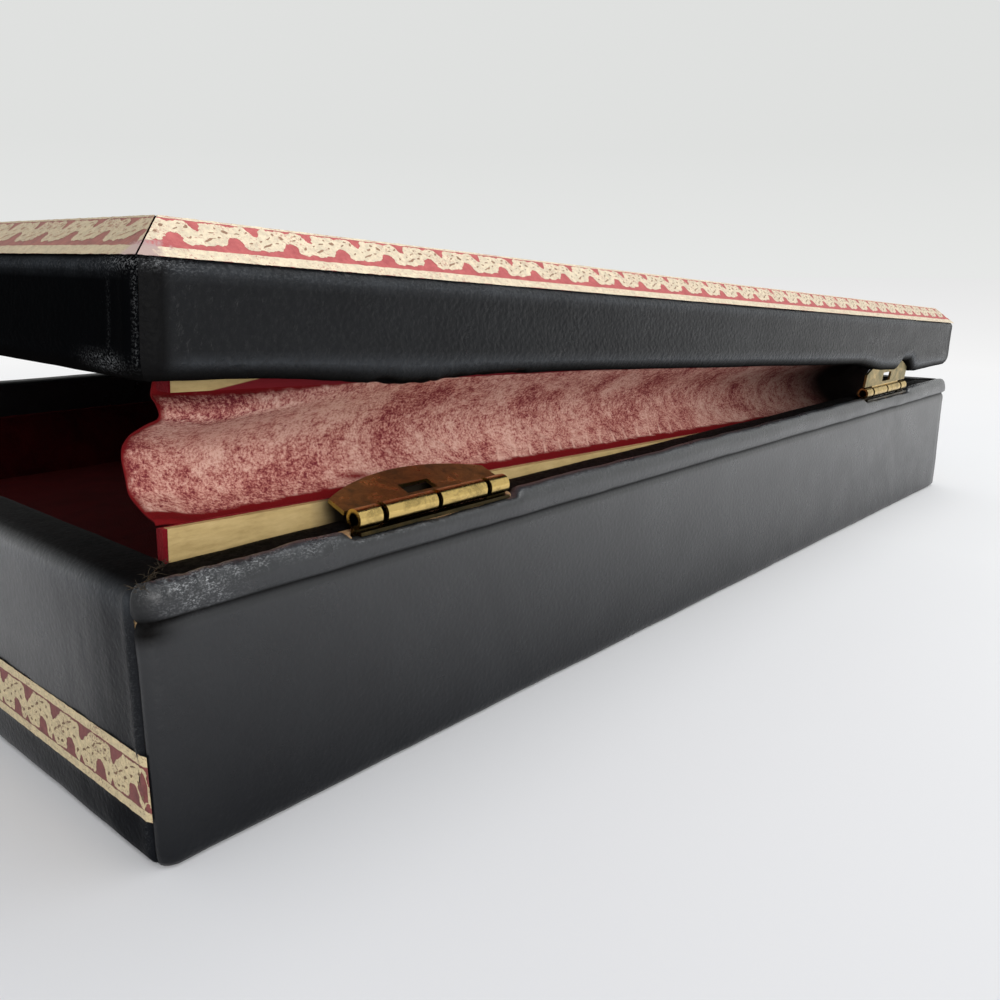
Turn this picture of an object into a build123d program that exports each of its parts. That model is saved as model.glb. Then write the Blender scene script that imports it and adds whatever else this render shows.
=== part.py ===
from build123d import *
from math import asin, atan2, degrees, hypot, radians, sin, tan
import os

# A leather-covered box for jewelry and keepsakes, with velvet lining and a bevelled lid.
# One of its two press-in hinges has torn out of the lid, so the lid stands up at that end.
# X runs along the length, the front faces -Y, the hinges are at +Y, and Z is up.
# The origin is the middle of the underside.

# Outside of the box
length = 270.0
depth = 212.0
base_height = 34.4
lid_side_height = 11.7
bevel_height = 4.7
bevel_inset = 5.3
corner_round = 2.6
rim_round = 2.4
inner_rim_round = 0.7
bevel_corner_round = 0.8

# Boards and skins
wood = 6.2
leather = 0.8
floor_board = 3.0
floor_rebate = 3.0
lid_board = 3.0
card = 2.0
velvet = 0.6
pad_card = 1.2
pad_cloth = 1.0
turn_in = 12.0
lid_turn_in = 7.0
turn_under = 10.0
top_turn_over = 1.0
corner_wrap = 2.0
roll_width = 4.6
roll_crease = 0.35
fit_gap = 0.2
soft_gap = 0.3
spare = 5.0

# Gilt border strips
border_depth = 0.3
base_border_low = 6.0
base_border_width = 8.3
lid_border_margin = 0.35

# Velvet-covered liner boards: how far their free edges stop short of the rims
liner_drop = 10.1
rear_liner_drop = 5.3
rear_liner_tilt = 2.03
lid_liner_drop = 4.4
lid_rear_liner_drop = 2.0
lid_rear_liner_tilt = 1.0

# Press-in hinges
near_hinge_x = 89.3
far_hinge_x = -84.6
hinge_inset = 2.0
hinge_rise = 1.0
barrel_length = 29.2
barrel_radius = 1.45
end_knuckle = 3.9
knuckle_gap = 1.0
barrel_slit = 0.9
pin_radius = 0.7
pin_recess = 1.6
pin_clearance = 0.05
leaf_thickness = 0.6
leaf_width = 29.8
leaf_side = 5.1
leaf_depth = 8.9
window_width = 5.8
window_depth = 2.4
window_offset = 3.65
barb_length = 2.6
barb_width = 1.6
barb_height = 0.35
barb_taper = 20.0
barb_offset = 9.6
barb_reach = 5.4
shoulder_reach = 1.5
shoulder_thickness = 0.5
shoulder_gap = 0.1
kerf_width = 1.5
kerf_gap = 0.6
seat_gap = 0.3

# How the lid stands: on the far hinge, skewed and lifted at the near end
lid_gap = 8.1
lid_shift = 0.95
lid_lift_angle = 3.58
lid_yaw_angle = 0.75
lid_open_angle = 0.74

# Velvet strip that bridges base and lid behind the hinges
gusset_thickness = 0.9
gusset_near_gap = 0.8
gusset_far_gap = 4.8
gusset_tuck = 2.0
gusset_chords = 8
near_bulge = 7.6
far_bulge = 10.2

# Worked-out sizes
rim = wood + 2 * leather
inner_length = length - 2 * rim
inner_depth = depth - 2 * rim
wood_inner_length = length - 2 * (leather + wood)
wood_inner_depth = depth - 2 * (leather + wood)
lid_height = lid_side_height + bevel_height
lid_board_under = lid_height - leather - lid_board
floor_top = leather + floor_board
pad_top = floor_top + pad_card + pad_cloth
lining_under = lid_board_under - pad_card - pad_cloth
liner_height = base_height - liner_drop - pad_top
rear_liner_height = base_height - rear_liner_drop - pad_top
lid_liner_height = lining_under - lid_liner_drop
lid_rear_liner_height = lining_under - lid_rear_liner_drop
long_span = inner_length - 2 * fit_gap
short_span = inner_depth - 2 * (card + velvet + fit_gap)
axis_y = depth / 2 - hinge_inset
axis_z = base_height + hinge_rise
middle_knuckle = barrel_length / 2 - end_knuckle - knuckle_gap
bore_radius = pin_radius + pin_clearance
gusset_near_x = inner_length / 2 - gusset_near_gap
gusset_far_x = gusset_far_gap - inner_length / 2

os.makedirs("parts", exist_ok=True)


def save(part, name, pose=Location()):
    """Write one finished piece under its own name, at its place in the box."""
    placed = pose * part
    placed.label = name
    export_step(placed, f"parts/{name}.step")


def plate(size_x, size_y, low, high):
    """A flat prism centred on the box, from one height to another."""
    with BuildPart() as prism:
        with BuildSketch(Plane.XY.offset(low)):
            Rectangle(size_x, size_y)
        extrude(amount=high - low)
    return prism.part


def quarter(ring, side, wrap=0.0):
    """The share of a ring that belongs to one side, cut on the mitre at both ends.

    With a wrap, the long sides go on round the corners and meet the short sides beyond them.
    """
    reach = depth / 4
    x_in, y_in = length / 2 - reach, depth / 2 - reach
    x_bend, y_bend = length / 2 - wrap, depth / 2 - wrap
    x_out, y_out = length / 2 + spare, depth / 2 + spare
    short_half = [(x_out, y_bend), (x_bend, y_bend), (x_in, y_in)]
    long_half = [(x_in, y_in), (x_bend, y_bend), (x_out, y_bend), (x_out, y_out)]
    right = short_half + [(x, -y) for x, y in reversed(short_half)]
    rear = long_half + [(-x, y) for x, y in reversed(long_half)]
    outlines = {
        "right": right,
        "left": [(-x, -y) for x, y in right],
        "rear": rear,
        "front": [(-x, -y) for x, y in rear],
    }
    with BuildPart() as piece:
        add(ring)
        with BuildSketch(Plane.XY.offset(-spare)):
            Polygon(*outlines[side], align=None)
        extrude(amount=base_height + lid_height + spare, mode=Mode.INTERSECT)
    return piece.part


# Outer forms. An inset of one leather thickness gives the wood inside the skin.
def base_block(inset):
    with BuildPart() as block:
        with BuildSketch(Plane.XY.offset(inset)):
            RectangleRounded(length - 2 * inset, depth - 2 * inset, corner_round - inset)
        extrude(amount=base_height - 2 * inset)
        fillet(block.faces().sort_by(Axis.Z)[-1].edges(), rim_round - inset)
    return block.part


def lid_block(inset):
    top_x = length - 2 * (inset + bevel_inset)
    top_y = depth - 2 * (inset + bevel_inset)
    with BuildPart() as block:
        with BuildSketch(Plane.XY.offset(inset)):
            RectangleRounded(length - 2 * inset, depth - 2 * inset, corner_round - inset)
        extrude(amount=lid_side_height - inset)
        fillet(block.faces().sort_by(Axis.Z)[0].edges(), rim_round - inset)
        with BuildSketch(Plane.XY.offset(lid_side_height)):
            RectangleRounded(length - 2 * inset, depth - 2 * inset, corner_round - inset)
        with BuildSketch(Plane.XY.offset(lid_height - inset)):
            RectangleRounded(top_x, top_y, bevel_corner_round)
        loft(ruled=True)
    return block.part


# Hinge shapes, drawn with the barrel along X and the leaf pointing along +Y
def leaf_outline(grow):
    half = leaf_width / 2 + grow
    with BuildSketch() as outline:
        with BuildLine():
            left = Line((-half, 0), (-half, leaf_side + grow))
            bow = ThreePointArc(left @ 1, (0, leaf_depth + grow), (half, leaf_side + grow))
            right = Line(bow @ 1, (half, 0))
            Line(right @ 1, left @ 0)
        make_face()
    return outline.sketch


def barrel_piece(radius, start, end):
    with BuildPart() as tube:
        with BuildSketch(Plane.YZ.offset(start)):
            Circle(radius)
        extrude(amount=end - start)
    return tube.part


def barb(side):
    """One punched tooth that stands up from the leaf."""
    with BuildPart() as tooth:
        with BuildSketch(Plane.XY.offset(leaf_thickness / 2)):
            with Locations((side * barb_offset, barb_reach)):
                Triangle(a=barb_width, b=barb_length, c=barb_length)
        extrude(amount=barb_height, taper=barb_taper)
    return tooth.part


def hinge_leaf(own_spans, other_spans):
    """A bow-shaped leaf with a window and two barbs, curled into its own knuckles."""
    clear = barrel_radius + seat_gap
    with BuildPart() as leaf:
        with BuildSketch(Plane.XY.offset(-leaf_thickness / 2)):
            add(leaf_outline(0))
            with Locations((0, window_offset)):
                Rectangle(window_width, window_depth, mode=Mode.SUBTRACT)
        extrude(amount=leaf_thickness)
        add(barb(-1))
        add(barb(1))
        for start, end in other_spans:
            with BuildSketch(Plane.XY.offset(-clear)):
                with Locations(((start + end) / 2, 0)):
                    Rectangle(end - start + 2 * knuckle_gap, 2 * clear)
            extrude(amount=2 * clear, mode=Mode.SUBTRACT)
        for start, end in own_spans:
            add(barrel_piece(barrel_radius, start, end))
        add(barrel_piece(bore_radius, -barrel_length, barrel_length), mode=Mode.SUBTRACT)
    return leaf.part


half_barrel = barrel_length / 2
end_spans = [(-half_barrel, end_knuckle - half_barrel), (half_barrel - end_knuckle, half_barrel)]
middle_spans = [(-middle_knuckle, -barrel_slit / 2), (barrel_slit / 2, middle_knuckle)]

with BuildPart() as upper_leaf:
    add(hinge_leaf(middle_spans, end_spans))

with BuildPart() as shoulder:
    with BuildSketch(Plane.XZ.offset(barrel_radius + shoulder_gap)):
        with Locations((0, -shoulder_reach / 2)):
            Rectangle(barrel_length, shoulder_reach)
    extrude(amount=shoulder_thickness)

# The lower leaf points down, so its local +Y is the box's -Z and the shoulder faces the rear
with BuildPart() as lower_leaf:
    add(hinge_leaf(end_spans, [(-middle_knuckle, middle_knuckle)]))
    add(Rot(X=180) * shoulder.part)

with BuildPart() as hinge_pin:
    add(barrel_piece(pin_radius, pin_recess - half_barrel, half_barrel - pin_recess))


def leaf_pose(x, angle):
    """Place a leaf on the hinge axis, swung up from flat inward by an angle."""
    return Pos(x, axis_y, axis_z) * Rot(X=-angle) * Rot(X=180)


# Hollows that the hinges need in the rear wall and its skin
def base_hinge_seat(x):
    with BuildPart() as seat:
        with BuildSketch(Plane.XZ.offset(-axis_y - kerf_width / 2)):
            add(Pos(x, axis_z) * Rot(Z=180) * leaf_outline(kerf_gap))
        extrude(amount=kerf_width)
        end = half_barrel + seat_gap
        add(Pos(x, axis_y, axis_z) * barrel_piece(barrel_radius + seat_gap, -end, end))
        shoulder_low = axis_z - barrel_radius - shoulder_gap - shoulder_thickness - seat_gap / 2
        with BuildSketch(Plane.XY.offset(shoulder_low)):
            with Locations((x, axis_y + hinge_inset)):
                Rectangle(2 * end, 2 * hinge_inset)
        extrude(amount=2 * barrel_radius)
    return seat.part


def lid_hinge_kerf(x):
    with BuildPart() as kerf:
        with BuildSketch(Plane.XZ.offset(-axis_y - kerf_width / 2)):
            add(Pos(x, 0) * leaf_outline(kerf_gap))
        extrude(amount=kerf_width)
    return kerf.part


sides = ["front", "rear", "left", "right"]

# Base: four mitred boards, the floor board in their rebate, and the leather round them
with BuildPart() as base_wall_ring:
    add(base_block(leather))
    add(plate(wood_inner_length, wood_inner_depth, 0, base_height), mode=Mode.SUBTRACT)

with BuildPart() as base_border_ring:
    add(base_block(0))
    add(plate(length, depth, 0, base_border_low), mode=Mode.SUBTRACT)
    border_top = base_border_low + base_border_width
    add(plate(length, depth, border_top, base_height), mode=Mode.SUBTRACT)
    add(base_block(border_depth), mode=Mode.SUBTRACT)

with BuildPart() as base_skin_ring:
    add(base_block(0))
    add(plate(inner_length, inner_depth, leather, base_height), mode=Mode.SUBTRACT)
    inner_rim = base_skin_ring.faces().sort_by(Axis.Z)[-1].inner_wires()[0].edges()
    fillet(inner_rim, inner_rim_round)
    under_x = length - 2 * turn_under
    under_y = depth - 2 * turn_under
    add(plate(under_x, under_y, 0, leather), mode=Mode.SUBTRACT)
    skin_end = base_height - turn_in
    add(plate(wood_inner_length, wood_inner_depth, leather, skin_end), mode=Mode.SUBTRACT)
    add(base_wall_ring.part, mode=Mode.SUBTRACT)

rebate_x = wood_inner_length + 2 * floor_rebate
rebate_y = wood_inner_depth + 2 * floor_rebate
base_seats = [base_hinge_seat(near_hinge_x), base_hinge_seat(far_hinge_x)]

# The padded roll on the rear rim ends in a crease in the rear face
with BuildPart() as roll_groove:
    with BuildSketch(Plane.YZ.offset(-length / 2)):
        with Locations((depth / 2, base_height - roll_width)):
            Circle(roll_crease)
    extrude(amount=length)

for side in sides:
    with BuildPart() as wall:
        add(quarter(base_wall_ring.part, side))
        add(plate(rebate_x, rebate_y, leather, floor_top), mode=Mode.SUBTRACT)
        if side == "rear":
            add(base_seats, mode=Mode.SUBTRACT)
    save(wall.part, f"base_{side}_wall")

    with BuildPart() as skin:
        add(quarter(base_skin_ring.part, side, corner_wrap))
        if side == "rear":
            add(base_seats, mode=Mode.SUBTRACT)
            add(roll_groove.part, mode=Mode.SUBTRACT)
        else:
            add(base_border_ring.part, mode=Mode.SUBTRACT)
    save(skin.part, f"base_{side}_leather")

    if side != "rear":
        border = quarter(base_border_ring.part, side, corner_wrap)
        save(border, f"base_{side}_border")

save(plate(rebate_x - fit_gap, rebate_y - fit_gap, leather, floor_top), "base_floor_board")
save(plate(under_x - fit_gap, under_y - fit_gap, 0, leather), "base_underside_cover")


# Flat pads: a card with cloth over its face and edges
def pad(card_low, cloth_side):
    size_x = inner_length - 2 * fit_gap
    size_y = inner_depth - 2 * fit_gap
    card_high = card_low + pad_card
    with BuildPart() as pad_base:
        add(plate(size_x - 2 * velvet, size_y - 2 * velvet, card_low, card_high))
    with BuildPart() as cloth:
        if cloth_side > 0:
            add(plate(size_x, size_y, card_low, card_high + pad_cloth))
            face = cloth.faces().sort_by(Axis.Z)[-1]
        else:
            add(plate(size_x, size_y, card_low - pad_cloth, card_high))
            face = cloth.faces().sort_by(Axis.Z)[0]
        fillet(face.edges(), pad_cloth / 2)
        add(pad_base.part, mode=Mode.SUBTRACT)
    return pad_base.part, cloth.part


floor_card, floor_cloth = pad(floor_top, 1)
save(floor_card, "base_floor_card")
save(floor_cloth, "base_floor_velvet")


# Liner boards: back on y = 0, inward is -Y, standing on z = 0 with the free edge on top
def liner(span, height, wrapped):
    """A card with cloth over its face and ends, and over its free edge where it is wrapped."""
    stand = (Align.CENTER, Align.MAX, Align.MIN)
    card_height = height - velvet
    cloth_height = height if wrapped else card_height
    with BuildPart() as board:
        Box(span - 2 * velvet, card, card_height, align=stand)
    with BuildPart() as cloth:
        Box(span, card + velvet, cloth_height, align=stand)
        face = cloth.faces().sort_by(Axis.Y)[0]
        fillet(face.edges().sort_by(Axis.Z)[-1], velvet / 2)
        add(board.part, mode=Mode.SUBTRACT)
    return board.part, cloth.part


turned = {"front": 180, "left": 90, "right": -90}
reach_to_wall = {"front": inner_depth / 2, "left": inner_length / 2, "right": inner_length / 2}


def liner_pose(side, z):
    """Stand a board against the inside of one wall."""
    return Rot(Z=turned[side]) * Pos(0, reach_to_wall[side], z)


for side in ["front", "left", "right"]:
    span = long_span if side == "front" else short_span
    board, cloth = liner(span, liner_height, wrapped=True)
    save(board, f"base_{side}_liner_card", liner_pose(side, pad_top))
    save(cloth, f"base_{side}_liner_velvet", liner_pose(side, pad_top))

# The rear board has been pulled up at the near end, and turns about its far bottom corner
rear_span = long_span - 2 * fit_gap - card
board, cloth = liner(rear_span, rear_liner_height, wrapped=False)
rear_turn = Pos(-long_span / 2, inner_depth / 2, pad_top) * Rot(Y=-rear_liner_tilt)
rear_pose = rear_turn * Pos(rear_span / 2 + card / 2, 0, 0)
save(board, "base_rear_liner_card", rear_pose)
save(cloth, "base_rear_liner_velvet", rear_pose)

# Lid: four boards, a bevelled top board, and the leather round them, all drawn closed and level
lid_hang = Pos(far_hinge_x, axis_y + lid_shift, base_height + lid_gap)
lid_turn = Rot(Z=lid_yaw_angle) * Rot(Y=-lid_lift_angle) * Rot(X=-lid_open_angle)
lid_pose = lid_hang * lid_turn * Pos(-far_hinge_x, -axis_y, 0)

with BuildPart() as lid_wall_ring:
    add(lid_block(leather))
    add(plate(wood_inner_length, wood_inner_depth, 0, lid_board_under), mode=Mode.SUBTRACT)
    add(plate(length, depth, lid_board_under, lid_height), mode=Mode.SUBTRACT)

with BuildPart() as lid_top_board:
    add(lid_block(leather))
    add(plate(length, depth, 0, lid_board_under), mode=Mode.SUBTRACT)
save(lid_top_board.part, "lid_top_board", lid_pose)

with BuildPart() as lid_border_ring:
    add(lid_block(0))
    add(plate(length, depth, 0, lid_side_height + lid_border_margin), mode=Mode.SUBTRACT)
    border_high = lid_height - lid_border_margin
    add(plate(length, depth, border_high, lid_height), mode=Mode.SUBTRACT)
    add(lid_block(border_depth), mode=Mode.SUBTRACT)

top_sheet_x = length - 2 * (bevel_inset + top_turn_over)
top_sheet_y = depth - 2 * (bevel_inset + top_turn_over)
with BuildPart() as lid_skin_ring:
    add(lid_block(0))
    add(lid_block(leather), mode=Mode.SUBTRACT)
    add(plate(wood_inner_length, wood_inner_depth, lid_turn_in, lid_board_under), mode=Mode.SUBTRACT)
    add(plate(inner_length, inner_depth, 0, lid_turn_in), mode=Mode.SUBTRACT)
    add(plate(top_sheet_x, top_sheet_y, lid_board_under, lid_height), mode=Mode.SUBTRACT)

sheet_x = top_sheet_x - fit_gap
sheet_y = top_sheet_y - fit_gap
save(plate(sheet_x, sheet_y, lid_height - leather, lid_height), "lid_top_leather", lid_pose)

lid_kerfs = [lid_hinge_kerf(near_hinge_x), lid_hinge_kerf(far_hinge_x)]

for side in sides:
    with BuildPart() as wall:
        add(quarter(lid_wall_ring.part, side))
        if side == "rear":
            add(lid_kerfs, mode=Mode.SUBTRACT)
    save(wall.part, f"lid_{side}_wall", lid_pose)

    with BuildPart() as skin:
        add(quarter(lid_skin_ring.part, side))
        add(lid_border_ring.part, mode=Mode.SUBTRACT)
        if side == "rear":
            add(lid_kerfs, mode=Mode.SUBTRACT)
    save(skin.part, f"lid_{side}_leather", lid_pose)

    save(quarter(lid_border_ring.part, side), f"lid_{side}_border", lid_pose)

lining_card, lining_cloth = pad(lid_board_under - pad_card, -1)
save(lining_card, "lid_lining_card", lid_pose)
save(lining_cloth, "lid_lining_velvet", lid_pose)

# Lid liners hang from the lining with their free edge down
upside_down = Rot(Y=180)
for side in ["front", "left", "right"]:
    span = long_span if side == "front" else short_span
    board, cloth = liner(span, lid_liner_height, wrapped=True)
    place = lid_pose * liner_pose(side, lining_under) * upside_down
    save(board, f"lid_{side}_liner_card", place)
    save(cloth, f"lid_{side}_liner_velvet", place)

# The rear board has slipped down at the near end, its far top corner still against the lining
board, cloth = liner(rear_span, lid_rear_liner_height, wrapped=False)
drop = rear_span / 2 * sin(radians(lid_rear_liner_tilt)) + fit_gap / 2
slipped = Pos(0, inner_depth / 2, lining_under - drop) * Rot(Y=lid_rear_liner_tilt)
place = lid_pose * slipped * upside_down
save(board, "lid_rear_liner_card", place)
save(cloth, "lid_rear_liner_velvet", place)


def rear_liner_edge(x):
    """Height of the rear liner's free edge at one place along the box."""
    rise = (x + long_span / 2) * tan(radians(rear_liner_tilt))
    return pad_top + rear_liner_height - velvet + rise


# The near upper leaf has fallen inward until its barbs rest on the rear liner's edge
rest_reach = axis_y - inner_depth / 2
rest_rise = rear_liner_edge(near_hinge_x + barb_offset + barb_width / 2) - axis_z
rest_depth = leaf_thickness / 2 + barb_height + soft_gap
edge_angle = atan2(rest_rise, rest_reach)
torn_leaf_angle = degrees(edge_angle + asin(rest_depth / hypot(rest_reach, rest_rise)))

# The far upper leaf still stands in the lid's kerf, and leans out with the lid that has shifted
kerf_middle = (lid_gap - hinge_rise + leaf_depth) / 2
held_leaf_angle = 90 + degrees(asin(lid_shift / kerf_middle))

for end, x, angle in [("near", near_hinge_x, torn_leaf_angle), ("far", far_hinge_x, held_leaf_angle)]:
    save(upper_leaf.part, f"{end}_hinge_upper_leaf", leaf_pose(x, angle))
    save(lower_leaf.part, f"{end}_hinge_lower_leaf", leaf_pose(x, -90))
    save(hinge_pin.part, f"{end}_hinge_pin", leaf_pose(x, 0))


# The velvet strip is glued inside both rear boards and bows into the box between them
def gusset_section(x, bulge):
    """The strip's cut at one place, from the base liner's edge to the lid's, in short chords."""
    face_y = inner_depth / 2 - card - velvet - soft_gap - gusset_thickness / 2
    lid_face = lid_pose * Pos(x, face_y, gusset_tuck / 2)
    low = (face_y, rear_liner_edge(x) - gusset_tuck)
    high = (lid_face.position.Y, lid_face.position.Z)
    belly = (face_y - bulge, (low[1] + high[1]) / 2)
    with BuildSketch(Plane.YZ.offset(x)) as section:
        with BuildLine():
            bow = ThreePointArc(low, belly, high, mode=Mode.PRIVATE)
            Polyline(*[bow @ (step / gusset_chords) for step in range(gusset_chords + 1)])
        trace(line_width=gusset_thickness)
    return section.sketch


with BuildPart() as gusset:
    near_section = gusset_section(gusset_near_x, near_bulge)
    far_section = gusset_section(gusset_far_x, far_bulge)
    loft(sections=[far_section, near_section], ruled=True)
save(gusset.part, "hinge_gusset")
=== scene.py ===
import math
import bmesh
import bpy
import numpy as np
from mathutils import Matrix, Vector


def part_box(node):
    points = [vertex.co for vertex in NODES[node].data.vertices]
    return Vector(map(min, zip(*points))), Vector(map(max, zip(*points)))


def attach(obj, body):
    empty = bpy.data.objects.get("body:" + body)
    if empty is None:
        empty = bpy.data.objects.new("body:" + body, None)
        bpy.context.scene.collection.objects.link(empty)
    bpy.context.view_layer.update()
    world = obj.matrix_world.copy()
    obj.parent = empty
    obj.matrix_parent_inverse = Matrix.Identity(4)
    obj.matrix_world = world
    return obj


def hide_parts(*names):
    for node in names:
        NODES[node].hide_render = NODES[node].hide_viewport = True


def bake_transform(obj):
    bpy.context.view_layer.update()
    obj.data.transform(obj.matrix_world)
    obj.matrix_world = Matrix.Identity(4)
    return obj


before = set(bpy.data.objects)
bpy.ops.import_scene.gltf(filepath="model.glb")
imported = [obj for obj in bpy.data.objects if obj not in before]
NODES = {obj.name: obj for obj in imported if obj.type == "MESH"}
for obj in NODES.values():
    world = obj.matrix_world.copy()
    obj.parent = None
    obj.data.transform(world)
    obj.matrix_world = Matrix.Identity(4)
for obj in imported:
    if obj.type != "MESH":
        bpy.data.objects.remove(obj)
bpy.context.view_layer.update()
MM = 0.001

# Sizes of the box, in millimetres, as its source has them
LENGTH, DEPTH, HEIGHT = 270.0, 212.0, 34.4
CORNER = 2.6
LID_HEIGHT = 16.4
BEVEL_IN, BEVEL_UP = 5.3, 4.7
BEVEL_LONG = math.hypot(BEVEL_IN, BEVEL_UP)
NEAR_X, FAR_X = 89.3, -84.6
AXIS_Y, AXIS_Z = 104.0, 35.4
LINER_EDGE, LINER_TILT = 29.1, math.radians(2.03)
LINER_SPAN = 254.0
UP = np.array([0.0, 0.0, 1.0])


def turn(axis, degrees):
    return np.array(Matrix.Rotation(math.radians(degrees), 3, axis))


LID_TURN = turn("Z", 0.75) @ turn("Y", -3.58) @ turn("X", -0.74)
LID_HANG = np.array([FAR_X, AXIS_Y + 0.95, HEIGHT + 8.1])


def on_lid(points):
    """Points drawn on the closed, level lid, moved to where the lid stands."""
    return LID_HANG + (np.asarray(points, float) - np.array([FAR_X, AXIS_Y, 0.0])) @ LID_TURN.T


def ripple(a, b, size, seed=0.0):
    """A smooth irregular wave of about unit height over two coordinates in millimetres."""
    a, b = np.asarray(a, float) / size, np.asarray(b, float) / size
    total = np.sin(a * 5.1 + 1.7 * b + seed) + np.sin(b * 4.3 - 2.1 * a + 2.3 * seed + 1.0)
    total = total + 0.7 * np.sin(a * 9.7 + 6.1 * b + 3.1 * seed + np.sin(b * 3.3 + seed))
    total = total + 0.5 * np.sin(b * 13.1 - 7.7 * a + 1.3 * seed + 2.0 * np.sin(a * 2.9))
    return total / 3.2


def bump(x, middle, width):
    return np.exp(-(((x - middle) / width) ** 2))


def smooth(x, low, high):
    t = np.clip((x - low) / (high - low), 0, 1)
    return t * t * (3 - 2 * t)


# Materials
def rgba(colour):
    """A linear colour or grey with its alpha."""
    return (*colour, 1) if isinstance(colour, tuple) else (colour, colour, colour, 1)


class Graph:
    """The nodes of a material or world, with a short call for each kind used here."""

    def __init__(self, owner):
        owner.use_nodes = True
        self.owner, self.tree = owner, owner.node_tree

    def feed(self, socket, value):
        """Give a socket a link, a number, a vector or a colour."""
        if isinstance(value, bpy.types.NodeSocket):
            self.tree.links.new(value, socket)
        else:
            socket.default_value = rgba(value) if socket.type == "RGBA" else value

    def node(self, kind, *inputs, **values):
        """A shader node. Settings come by name, and inputs in order or by name."""
        made = self.tree.nodes.new("ShaderNode" + kind)
        for key, value in values.items():
            if hasattr(made, key):
                setattr(made, key, value)
            else:
                self.feed(made.inputs[key], value)
        for socket, value in zip(made.inputs, inputs):
            self.feed(socket, value)
        return made

    def place(self, stretch=(1, 1, 1)):
        """Object coordinates in millimetres, stretched along the axes."""
        spot = self.node("TexCoord").outputs["Object"]
        return self.node("Mapping", Vector=spot, Scale=[1000 * s for s in stretch]).outputs[0]

    def noise(self, vector, size, detail=3.0, rough=0.55, distortion=0.0):
        made = self.node("TexNoise", Vector=vector, Scale=1.0 / size, Detail=detail,
                         Roughness=rough, Distortion=distortion)
        return made.outputs["Fac"]

    def ramp(self, value, *stops):
        """Colours along a value: each stop is a place from 0 to 1 and a linear colour or grey."""
        made = self.node("ValToRGB", value)
        band = made.color_ramp
        while len(band.elements) < len(stops):
            band.elements.new(0.5)
        for element, (at, colour) in zip(band.elements, stops):
            element.position = at
            element.color = rgba(colour)
        return made.outputs["Color"]

    def mix(self, factor, a, b, blend_type="MIX"):
        made = self.node("Mix", data_type="RGBA", blend_type=blend_type)
        for index, value in ((0, factor), (6, a), (7, b)):
            self.feed(made.inputs[index], value)
        return made.outputs[2]

    def maths(self, operation, a, b=0.0, clamp=False):
        return self.node("Math", a, b, operation=operation, use_clamp=clamp).outputs[0]

    def times(self, a, b, clamp=False):
        return self.maths("MULTIPLY", a, b, clamp)

    def plus(self, a, b, clamp=False):
        return self.maths("ADD", a, b, clamp)

    def minus(self, a, b, clamp=False):
        return self.maths("SUBTRACT", a, b, clamp)

    def attribute(self, name):
        return self.node("Attribute", attribute_name=name).outputs["Fac"]

    def split(self, vector):
        return self.node("SeparateXYZ", vector).outputs

    def along(self, vector, axis, low, high):
        """0 to 1 along an axis, from one place in millimetres to another."""
        return self.maths("DIVIDE", self.minus(self.split(vector)[axis], low), high - low, True)

    def seen_rays(self):
        """1 for the rays that show a background: the camera's, and those off gloss and through
        glass."""
        path = self.node("LightPath").outputs
        shown = self.maths("MAXIMUM", path["Is Camera Ray"], path["Is Glossy Ray"])
        return self.maths("MAXIMUM", shown, path["Is Transmission Ray"])


class Surface(Graph):
    """A material on the Principled shader."""

    def __init__(self, name, roughness, specular, metallic=0.0, sheen=0.0):
        super().__init__(bpy.data.materials.new(name))
        self.shader = self.tree.nodes["Principled BSDF"]
        self.set({"Roughness": roughness, "Specular IOR Level": specular,
                  "Metallic": metallic, "Sheen Weight": sheen})

    def set(self, inputs):
        for key, value in inputs.items():
            self.feed(self.shader.inputs[key], value)

    def finish(self, colour, height, distance, strength):
        """The material with its colour, and a bump whose full height is in millimetres."""
        relief = self.node("Bump", Strength=strength, Distance=distance * MM, Height=height)
        self.set({"Base Color": colour, "Normal": relief.outputs["Normal"]})
        return self.owner


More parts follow.
